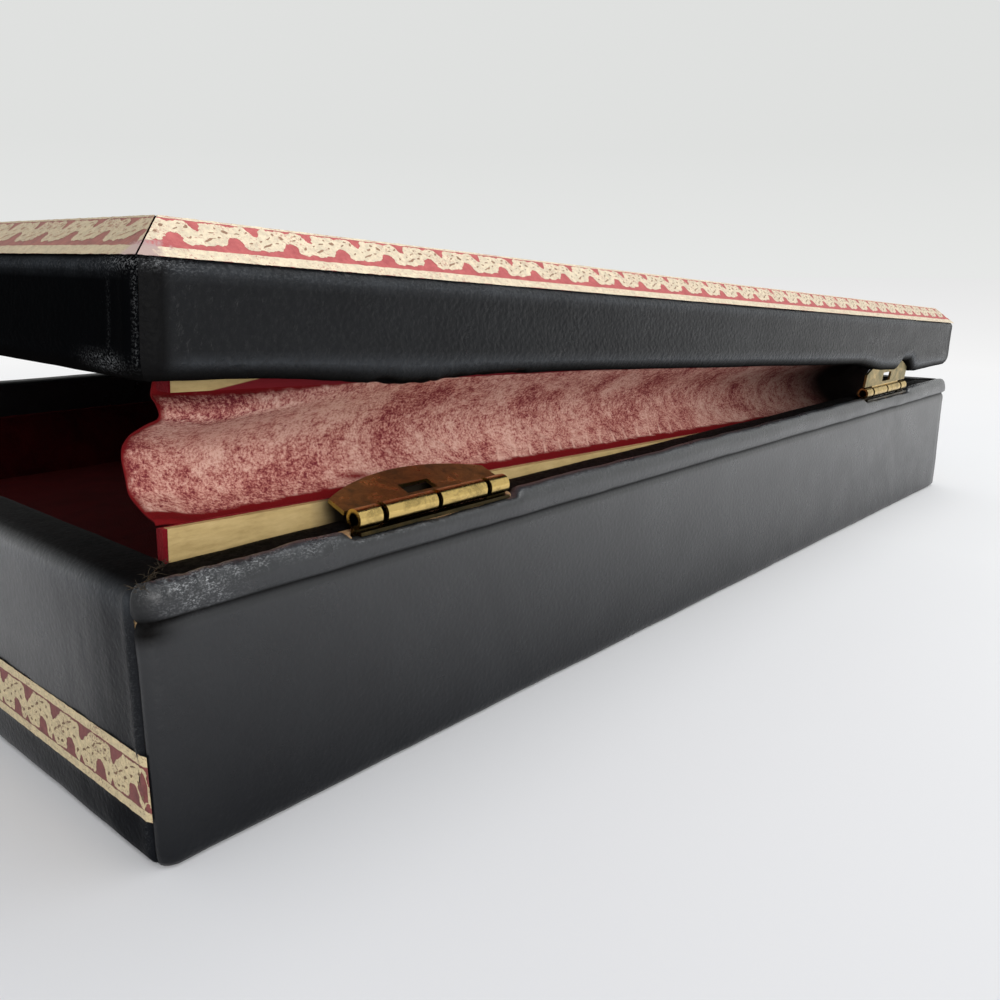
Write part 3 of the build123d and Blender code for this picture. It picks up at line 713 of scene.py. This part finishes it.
# One repeat of the running leaf, base and lid: its lower edge from left to right, then its upper
# edge back. Across it goes from 0 at the lower line to 1 at the upper line.
LEAF_BASE = [
    (-0.03, 0.03), (0.05, 0.02), (0.10, 0.10), (0.12, 0.28), (0.17, 0.42), (0.27, 0.46),
    (0.36, 0.41), (0.40, 0.28), (0.41, 0.12), (0.44, 0.03), (0.50, 0.00), (0.56, 0.02),
    (0.58, 0.12), (0.62, 0.20), (0.66, 0.12), (0.69, 0.02), (0.80, 0.00), (0.92, 0.04),
    (1.03, 0.03), (1.03, 0.985), (0.99, 0.93), (0.91, 0.84), (0.82, 0.74), (0.74, 0.63),
    (0.67, 0.58), (0.64, 0.66), (0.63, 0.80), (0.615, 0.95), (0.57, 0.98), (0.40, 0.99),
    (0.20, 0.985), (0.05, 0.985), (-0.03, 0.985),
]
LEAF_LID = [
    (-0.03, 0.10), (0.04, 0.07), (0.09, 0.10), (0.15, 0.22), (0.20, 0.34), (0.26, 0.45),
    (0.35, 0.47), (0.42, 0.41), (0.43, 0.28), (0.42, 0.14), (0.45, 0.04), (0.53, -0.03),
    (0.63, 0.02), (0.69, 0.06), (0.76, -0.01), (0.86, 0.01), (0.94, 0.07), (1.03, 0.10),
    (1.03, 0.97), (0.90, 0.99), (0.85, 0.93), (0.83, 0.80), (0.79, 0.66), (0.74, 0.58),
    (0.69, 0.64), (0.66, 0.78), (0.63, 0.92), (0.56, 0.99), (0.45, 0.96), (0.36, 0.89),
    (0.30, 0.94), (0.20, 0.99), (0.10, 0.95), (-0.03, 0.97),
]
# Strokes and spots in the leaves: place along, place across, slant, length and width
STROKES_BASE = [
    (0.10, 0.72, 0.45, 5.0, 1.2), (0.30, 0.86, 0.30, 6.0, 0.9), (0.45, 0.56, -0.40, 3.2, 1.6),
    (0.51, 0.26, 0.90, 3.4, 1.8), (0.03, 0.46, 0.50, 2.6, 1.3), (0.74, 0.40, 0.50, 4.6, 1.2),
    (0.90, 0.54, 0.45, 5.0, 1.1), (0.95, 0.20, 0.30, 2.8, 1.4), (0.22, 0.62, 0.20, 2.4, 1.5),
    (0.80, 0.16, -0.30, 2.0, 1.4), (0.47, 0.80, 0.40, 2.6, 1.1),
]
STROKES_LID = [
    (0.87, 0.28, 0.55, 8.5, 1.3), (0.20, 0.68, 0.80, 3.0, 2.8), (0.96, 0.60, 0.50, 3.6, 1.2),
    (0.60, 0.74, 1.10, 3.0, 1.3), (0.57, 0.30, 1.00, 2.6, 1.2), (0.42, 0.64, 0.30, 3.0, 1.0),
    (0.06, 0.42, 0.40, 2.6, 1.3), (0.08, 0.80, 0.70, 2.0, 1.4), (0.50, 0.84, 0.20, 2.0, 1.2),
    (0.78, 0.44, 0.40, 2.0, 1.0),
]
STROKE_RING = [(-1.0, 0.0), (-0.4, 0.9), (0.5, 1.0), (1.0, 0.1), (0.4, -0.8), (-0.5, -1.0)]
# What lays the border on its surface, its two gold lines, the leaf's lower and upper edge, the
# length of a repeat, the leaf, its strokes and their material
BORDERS = {
    "base": (base_surface, ((0.0, 1.25), (7.0, 8.25)), 6.85, 1.45, 8.15,
             LEAF_BASE, STROKES_BASE, VEIN),
    "lid": (lid_surface, ((0.12, 0.45), (5.0, 6.45)), 4.3, 0.5, 7.22,
            LEAF_LID, STROKES_LID, VEIN_LID),
}


def stroke(along_at, across_at, slant, long, wide):
    """Outline of one small stroke."""
    c, d = math.cos(slant), math.sin(slant)
    return [(along_at + 0.018 * (x * long * c - y * wide * d),
             across_at + 0.026 * (x * long * d + y * wide * c)) for x, y in STROKE_RING]


def rounded(outline, times):
    """Cut the corners of a closed outline, a number of times."""
    p = np.asarray(outline, float)
    for _ in range(times):
        q = np.roll(p, -1, axis=0)
        p = np.stack([0.75 * p + 0.25 * q, 0.25 * p + 0.75 * q], 1).reshape(-1, 2)
    return p


def cut_at(s, v, limit, sign):
    """The part of a closed outline on one side of a limit along s."""
    if sign * (s.max() if sign > 0 else s.min()) <= sign * limit:
        return s, v
    kept = []
    for k in range(len(s)):
        a, b = (s[k - 1], v[k - 1]), (s[k], v[k])
        if (sign * (a[0] - limit) > 0) != (sign * (b[0] - limit) > 0):
            t = (limit - a[0]) / (b[0] - a[0])
            kept.append((limit, a[1] + t * (b[1] - a[1])))
        if sign * (b[0] - limit) <= 0:
            kept.append(b)
    return np.array(kept).reshape(-1, 2).T


def border(side, group, low, high, start=0.0):
    """One side's border from low to high. start is how far into a repeat it begins."""
    surface, lines, leaf_low, leaf_high, period, leaf, strokes, vein = BORDERS[group]
    gold, red = (GOLD_LID, RED_LID) if group == "lid" else (GOLD, RED_BASE)
    if group == "lid" and side == "right":
        gold, red = GOLD_LID_END, RED_LID_END
    run = stops(low, high, [high if SIDES[side][3] > 0 else low], 0.45, 3.0, 70.0)

    def lay(label, points, faces, material):
        piece(f"{side}_{group}_border_{label}", points, faces, material,
              f"{group}_{side}_border", group)

    def strip(label, v, lift, material):
        faces = grid_faces(len(run), v.shape[1], flip=True)
        lay(label, surface(side, run[:, None], v, lift), faces, material)

    strip("ground", np.linspace(lines[0][0], lines[-1][1], 8)[None, :], 0.0, red)
    for k, (v0, v1) in enumerate(lines):
        rough_edge = 0.05 * ripple(run, k, 2.4, 3.0 + k) + 0.07 * ripple(run, k, 0.9, 5.0 + k)
        v = np.linspace(v0, v1, 4) + rough_edge[:, None] * np.array([1, 0, 0, -1])
        strip(f"line_{k}", v, 0.015, gold)
    leaves, veins = [rounded(leaf, 2)], [rounded(stroke(*v), 1) for v in strokes]
    for label, outlines, lift, material in (
            ("leafs", leaves, 0.02, gold), ("veins", veins, 0.035, vein)):
        points, faces = [], []
        for n in range(int(math.ceil((high - low + start) / period)) + 1):
            for u, w in (outline.T for outline in outlines):
                wobble = 0.020 * ripple(u * 30, w * 20 + n * 7.0, 7.0, n)
                u = np.where((u > 0.004) & (u < 0.996), u + wobble, u)
                w = w + 0.026 * ripple(u * 30 + 5, w * 20 + n * 3.0, 5.0, n + 1)
                s = low + (n + u) * period - start
                v = leaf_high + (1 - w) * (leaf_low - leaf_high)
                s, v = s + 0.12 * ripple(s, v, 0.6, 2.0), v + 0.12 * ripple(s, v, 0.7, 5.0)
                if s.min() > high or s.max() < low:
                    continue
                s, v = cut_at(*cut_at(s, v, high, 1.0), low, -1.0)
                if len(s) < 3 or np.ptp(s) < 0.05:
                    continue
                order = np.arange(len(points), len(points) + len(s))
                area = np.sum(s * np.roll(v, -1) - np.roll(s, -1) * v)
                faces.append(order[::-1] if area > 0 else order)
                points.extend(surface(side, s, v, lift + 0.003 * (n % 2)))
        lay(label, points, faces, material)


half_x, half_y = LENGTH / 2, DEPTH / 2
border("right", "base", -half_y + 2.0, half_y - 1.4, 0.55)
border("left", "base", -half_y + 2.0, half_y - 2.0)
border("front", "base", -half_x, half_x)
for side, (_, half, *_) in SIDES.items():
    border(side, "lid", -half, half, 3.75)

# The rear boards reach the end wall in the photograph, so what lies past a place near their ends
# is drawn out to it, the card further than the cloth round it. The base's board also tapers.
ENDS_FROM, CARD_END, CLOTH_MORE = 123.0, 124.84, 0.6
DRAWN_OUT, CLOTH_LESS, TAPER = 2.05, 0.35, 1.1


def lengthen(node_name, verts):
    if "rear_liner" not in node_name:
        return
    base = node_name.startswith("base")
    way = np.array([1.0, 0.0, 0.0]) if base else LID_TURN[:, 0]
    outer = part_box(node_name)[1].y - 0.9 * MM
    for vert in verts:
        if base and vert.co.y > outer:
            vert.co.y -= TAPER * (vert.co.x + LINER_SPAN / 2 * MM) / LINER_SPAN
        if vert.co.x > ENDS_FROM * MM:
            cloth = min(1.0, max(0.0, (vert.co.x / MM - CARD_END) / CLOTH_MORE))
            vert.co += Vector(way * (DRAWN_OUT - CLOTH_LESS * cloth) * MM)


for body, material in (("base", CARD_BASE), ("lid", CARD_LID)):
    node_name = f"{body}_rear_liner_card"
    mesh = NODES[node_name].data.copy()
    mesh.materials[0] = material
    lengthen(node_name, mesh.vertices)
    wire(add_object(node_name + "_board", mesh), node_name, body)

SHARP = math.radians(50.0)


def soft_copy(node_name, cell, depth, seed, crown=0.0):
    """A velvet node's own shape, cut finer and made a little uneven. crown raises its middle."""
    work = bmesh.new()
    work.from_mesh(NODES[node_name].data)
    bmesh.ops.triangulate(work, faces=work.faces[:])
    bmesh.ops.remove_doubles(work, verts=work.verts[:], dist=0.00002)
    for _ in range(7):
        long_edges = [e for e in work.edges if e.calc_length() > cell * MM]
        if not long_edges:
            break
        bmesh.ops.subdivide_edges(work, edges=long_edges, cuts=1)
        bmesh.ops.triangulate(work, faces=[f for f in work.faces if len(f.verts) > 3])
    bmesh.ops.recalc_face_normals(work, faces=work.faces[:])
    work.normal_update()
    low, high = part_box(node_name)
    lengthen(node_name, work.verts)
    for vert in work.verts:
        x, y, z = (c / MM for c in vert.co)
        wave = ripple(x + 0.6 * z, y + 1.7 * z, 17.0, seed) + 0.5 * ripple(x, y + z, 5.0, seed + 1)
        vert.co += vert.normal * depth * MM * float(wave)
        if crown and vert.normal.z > 0.3:
            inner = min(*(vert.co - low).xy, *(high - vert.co).xy) / MM
            vert.co.z += MM * crown * float(smooth(inner, 0.0, 26.0)) * vert.normal.z
    # The shading stays crisp across sharp edges
    work.normal_update()
    for edge in work.edges:
        edge.smooth = edge.calc_face_angle(0.0) <= SHARP
    mesh = bpy.data.meshes.new(node_name + "_cloth")
    work.to_mesh(mesh)
    work.free()
    # Velvet inside the box takes the painted-shade copy
    shaded(mesh, VELVET if "rear_liner" in node_name else VELVET_SHADED)
    obj = add_object(node_name + "_cloth", mesh)
    wire(obj, node_name, node_name.split("_")[0])


for k, side in enumerate(SIDES):
    soft_copy(f"base_{side}_liner_velvet", 4.0, 0.06, 1.0 + k)
    soft_copy(f"lid_{side}_liner_velvet", 4.0, 0.05, 5.0 + k)
soft_copy("base_floor_velvet", 5.0, 0.12, 9.0, crown=0.9)
soft_copy("lid_lining_velvet", 5.0, 0.10, 11.0)

# The velvet strip behind the hinges, seen from its back. Its shape across, near, in the middle
# and far: how far it stands into the box from the straight line between its edges, in
# millimetres, and how far up that line, from 0 to 1
NEAR_CUT = [
    (0.0, 0.0), (0.48, 0.027), (1.94, 0.043), (4.17, 0.085), (6.6, 0.154), (7.27, 0.239),
    (8.27, 0.367), (8.13, 0.447), (6.49, 0.527), (4.17, 0.585), (1.93, 0.633), (-0.06, 0.67),
    (-0.74, 0.707), (-0.5, 0.75), (0.35, 0.798), (1.26, 0.83), (1.0, 0.883), (0.0, 1.0),
]
MID_CUT = [
    (0.0, 0.0), (2.0, 0.06), (4.8, 0.16), (7.2, 0.30), (8.2, 0.46), (7.4, 0.62), (5.0, 0.76),
    (2.4, 0.87), (0.0, 1.0),
]
FAR_CUT = [
    (0.0, 0.0), (3.6, 0.11), (7.4, 0.27), (9.6, 0.44), (9.8, 0.59), (8.0, 0.74), (4.8, 0.87),
    (1.8, 0.94), (0.0, 1.0),
]
GUSSET_NEAR, GUSSET_FAR = 126.4, -122.4
GUSSET_COLUMNS = 81
# The strip's lower edge, and the face of the lid's rear board
LOW_Y, FACE_Y = 95.2, 94.85
# About the height of its cuts and the length of their curve
CUT_HIGH, CUT_LONG = 18, 26
# The cloth's thickness at its rim and what it gains inside, and the width of the red margin along
# its lower edge, its upper edge and its near end
CLOTH_RIM, CLOTH_PILE = 0.3, 0.5
MARGIN_LOW, MARGIN_TOP, MARGIN_END = 3.0, 2.4, 0.25
# The tear in the pale weave by the near hinge
TEAR_X, TEAR_UP = 93.0, 4.6


def even(points, n):
    """Points spread evenly along a smooth line through the few points of a cut."""
    line = curve_through(np.asarray(points) * (1, CUT_HIGH), 0.25)
    far = np.concatenate([[0], np.cumsum(np.linalg.norm(np.diff(line, axis=0), axis=1))])
    want = np.linspace(0, far[-1], n)
    return np.stack([np.interp(want, far, line[:, 0]), np.interp(want, far, line[:, 1]) / CUT_HIGH])


def gusset():
    x = stops(GUSSET_FAR, GUSSET_NEAR, [GUSSET_NEAR, 60.0], 0.8, 2.6, 70.0)
    rows, columns = len(x), GUSSET_COLUMNS
    u, t = x[:, None], np.linspace(0, 1, columns)[None, :]
    to_near, to_far = smooth(u, 86.0, 122.0), smooth(-u, 20.0, 122.0)
    depth, height = (
        mid * (1 - to_near - to_far) + near * to_near + far * to_far
        for near, mid, far in zip(*(even(cut, columns) for cut in (NEAR_CUT, MID_CUT, FAR_CUT)))
    )
    low_z = LINER_EDGE - 0.6 + (u + LINER_SPAN / 2) * math.tan(LINER_TILT)
    low_z = low_z - 1.2 + 1.3 * smooth(u, 119.0, 126.0)
    top = on_lid(np.stack([x, np.full_like(x, FACE_Y), np.full_like(x, 0.6)], 1))
    high_y, high_z = top[:, 1:2], top[:, 2:3]
    loose = smooth(t, 0.06, 0.22) * smooth(1 - t, 0.04, 0.2)
    calm = 1 - 0.8 * smooth(u, 112.0, 124.0)
    lumps = sum(size * ripple(u, t * CUT_LONG, wide, seed)
                for size, wide, seed in ((0.45, 34.0, 2.0), (0.22, 11.0, 4.0), (0.07, 3.4, 6.0)))
    slant = u - 34 * (t - 0.5)
    pleats = 0.30 * bump(slant % 12.0, 6.0, 1.0) * smooth(34 - np.abs(u - 58), 0, 14)
    y = LOW_Y + (high_y - LOW_Y) * height - depth - loose * calm * (lumps + pleats)
    z = low_z + (high_z - low_z) * height + 0.25 * loose * calm * ripple(u, t * 20, 23.0, 8.0)
    back = np.stack([u + 0 * t, y, z], 2)
    normal = np.cross(np.gradient(back, axis=1), np.gradient(back, axis=0))
    normal /= np.linalg.norm(normal, axis=2)[..., None]
    from_rim = np.minimum(CUT_LONG * np.minimum(t, 1 - t), GUSSET_NEAR - u)
    face = back - (CLOTH_RIM + CLOTH_PILE * smooth(from_rim, 0.0, 2.0))[..., None] * normal
    index = np.arange(rows * columns).reshape(rows, columns)
    faces = [*grid_faces(rows, columns), *grid_faces(rows, columns, True, index.size)]
    rim = [*index[0], *index[1:, -1], *index[-1, -2::-1], *index[-2:0:-1, 0]]
    faces += [(a, b, b + index.size, a + index.size) for a, b in zip(rim, rim[1:] + rim[:1])]
    steps = np.linalg.norm(np.diff(back, axis=1), axis=2)
    up = np.concatenate([np.zeros((rows, 1)), np.cumsum(steps, axis=1)], 1)
    ragged = 0.28 * ripple(u, up, 2.6, 1.0) + 0.22 * ripple(u, up, 9.0, 3.0)
    from_low = up - MARGIN_LOW + ragged
    from_top = up[:, -1:] - up - MARGIN_TOP - 1.6 * smooth(u, 74.0, 108.0) + ragged
    from_end = GUSSET_NEAR - MARGIN_END - u + 0.4 * ragged
    pink = smooth(np.minimum.reduce([from_low, from_top, from_end]), -0.15, 0.25)
    tear = bump(u + 0.4 * (up - 4), TEAR_X, 2.4) * bump(up, TEAR_UP + 0.10 * (u - 92), 0.75)
    tuck = 0.9 * smooth(up, 2.7, 3.3) * smooth(7.2 - up, 0.0, 3.4)
    tuck = tuck * smooth(40 - np.abs(u - 34), 0, 16)
    # The face has the strip's coordinates, but neither the backing's colour nor its tucks
    marks = {"run": [u + 0 * up] * 2, "rise": [up] * 2}
    marks.update(pink=[pink * (1 - tear), 0 * up], tuck=[tuck, 0 * up])
    return piece("hinge_gusset_cloth", np.stack([back, face]), faces, BACKING,
                 "hinge_gusset", None, marks)


# The strip goes over from base to lid across its height, square to a leaning line
cloth = gusset()
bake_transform(cloth)


# Frayed fibres at the near rear corner of the rim, between two places on it
FIBRES_FROM, FIBRES_TO = np.array([127.6, 98.6, 34.25]), np.array([134.6, 105.6, 34.0])
FIBRE_COUNT, FIBRE_STEPS, FIBRE_RADIUS = 80, 4, 0.055


def fibres():
    chance = np.random.default_rng(7)
    points, faces = [], []
    for _ in range(FIBRE_COUNT):
        share = chance.random()
        root = FIBRES_FROM * (1 - share) + FIBRES_TO * share
        root[:2] += chance.normal(0.0, 0.45, 2)
        way = [chance.normal(0.0, 1.0), chance.normal(0.0, 1.0), abs(chance.normal(0.35, 0.4))]
        way = np.array(way) / np.linalg.norm(way)
        long, bend = chance.uniform(0.4, 1.9), chance.normal(0.0, 0.5, 3)
        side = np.cross(way, [0.3, 0.2, 1.0])
        side /= np.linalg.norm(side)
        other = np.cross(way, side)
        for k in range(FIBRE_STEPS + 1):
            t = k / FIBRE_STEPS
            middle = root + way * long * t + (0.5 * bend - 0.25 * UP) * long * t * t
            middle[2] = max(middle[2], 33.9)
            wide = FIBRE_RADIUS * (1 - 0.8 * t)
            for a in range(3):
                c = len(points)
                spoke = math.cos(2.1 * a) * side + math.sin(2.1 * a) * other
                points.append(middle + wide * spoke)
                if k:
                    turned = c - a + (a + 1) % 3
                    faces.append((c - 3, turned - 3, turned, c))
    look = Surface("leather_fibre", 0.8, 0.2)
    look.set({"Base Color": (0.045, 0.034, 0.022)})
    piece("rear_base_leather_fibres", points, faces, look.owner,
          "base_rear_leather", "base")


fibres()

# Camera, solved from the box's own edges in the photograph
CAMERA_AT = (177.77, 195.536, 66.829)
FORWARD = Vector((-0.724022, -0.646531, -0.240398))
RIGHT = Vector((-0.66652, 0.745483, 0.002483))
FOCAL_PIXELS = 922.16
SENSOR = 36.0
data = bpy.data.cameras.new("camera")
data.sensor_width = SENSOR
data.sensor_fit = "HORIZONTAL"
data.lens = SENSOR * FOCAL_PIXELS / 1000.0
data.clip_start = 0.005
camera = add_object("camera", data)
camera.matrix_world = Matrix((
    *zip(RIGHT, RIGHT.cross(FORWARD), -FORWARD, [c * MM for c in CAMERA_AT]), (0, 0, 0, 1)))
bpy.context.scene.camera = camera

# A pale table that runs into a pale room without an edge: from some way off, in metres, it glows
# for the rays that show it
TABLE_REACH = 12.0
ROOM_FROM, ROOM_TO = 0.22, 0.55
ROOM_GLOW, NEAR_GLOW = 0.795, 0.07
g = Surface("table_pale", 0.8, 0.1)
# Painted shade: the table is darker towards +X, the box's near end
pale = g.ramp(g.along(g.place(), "X", 150.0, -60.0),
              (0.0, (0.755, 0.760, 0.780)), (1.0, (0.95, 0.955, 0.965)))
clouded = g.ramp(g.noise(g.place(), 130.0, 2.0, 0.5), (0.3, 0.96), (0.7, 1.0))
g.set({"Base Color": g.mix(0.5, pale, clouded, "MULTIPLY")})
spot = g.node("TexCoord").outputs["Object"]
away = g.node("VectorMath", spot, operation="LENGTH").outputs["Value"]
glow = g.node("Emission", Color=g.plus(ROOM_GLOW, g.maths("DIVIDE", NEAR_GLOW, away), True))
far_off = g.times(g.ramp(away, (ROOM_FROM, 0.0), (ROOM_TO, 1.0)), g.seen_rays())
joined = g.node("MixShader", far_off, g.shader.outputs[0], glow.outputs[0])
g.feed(g.tree.nodes["Material Output"].inputs["Surface"], joined.outputs[0])
floor_mesh = bpy.data.meshes.new("table_top")
corners = [(x * TABLE_REACH, y * TABLE_REACH, 0) for x, y in ((-1, -1), (1, -1), (1, 1), (-1, 1))]
floor_mesh.from_pydata(corners, [], [(0, 1, 2, 3)])
floor_mesh.materials.append(g.owner)
floor = add_object("table_top", floor_mesh)

# The room: one light for the box, and a backdrop for the rays that show it
g = Graph(bpy.data.worlds.new("room"))
bpy.context.scene.world = g.owner
sky = g.tree.nodes["Background"]
for socket, value in zip(sky.inputs, ((0.98, 0.99, 1.0), 0.5)):
    g.feed(socket, value)
heading = g.split(g.node("TexCoord").outputs["Generated"])["Z"]
backdrop = g.ramp(heading, (0.0, (0.795, 0.805, 0.795)), (0.12, (0.740, 0.750, 0.740)))
seen = g.node("Background", backdrop, 1.0)
joined = g.node("MixShader", g.seen_rays(), sky.outputs[0], seen.outputs[0])
g.feed(g.tree.nodes["World Output"].inputs["Surface"], joined.outputs[0])


def lamp(name, at, aim, size, power, colour):
    light = bpy.data.lights.new(name, "AREA")
    light.shape = "DISK"
    light.size = size
    light.energy = power
    light.color = colour
    obj = add_object(name, light)
    obj.location = at
    obj.rotation_euler = (Vector(aim) - Vector(at)).to_track_quat("-Z", "Y").to_euler()


lamp("window", (0.5, 1.1, 0.5), (0, 0.1, 0.04), 0.8, 9.5, (1.0, 0.99, 0.98))
lamp("overhead", (-0.25, 0.2, 1.4), (0, 0, 0.03), 1.2, 7.0, (0.98, 0.99, 1.0))

bpy.context.scene.view_settings.view_transform = "Standard"
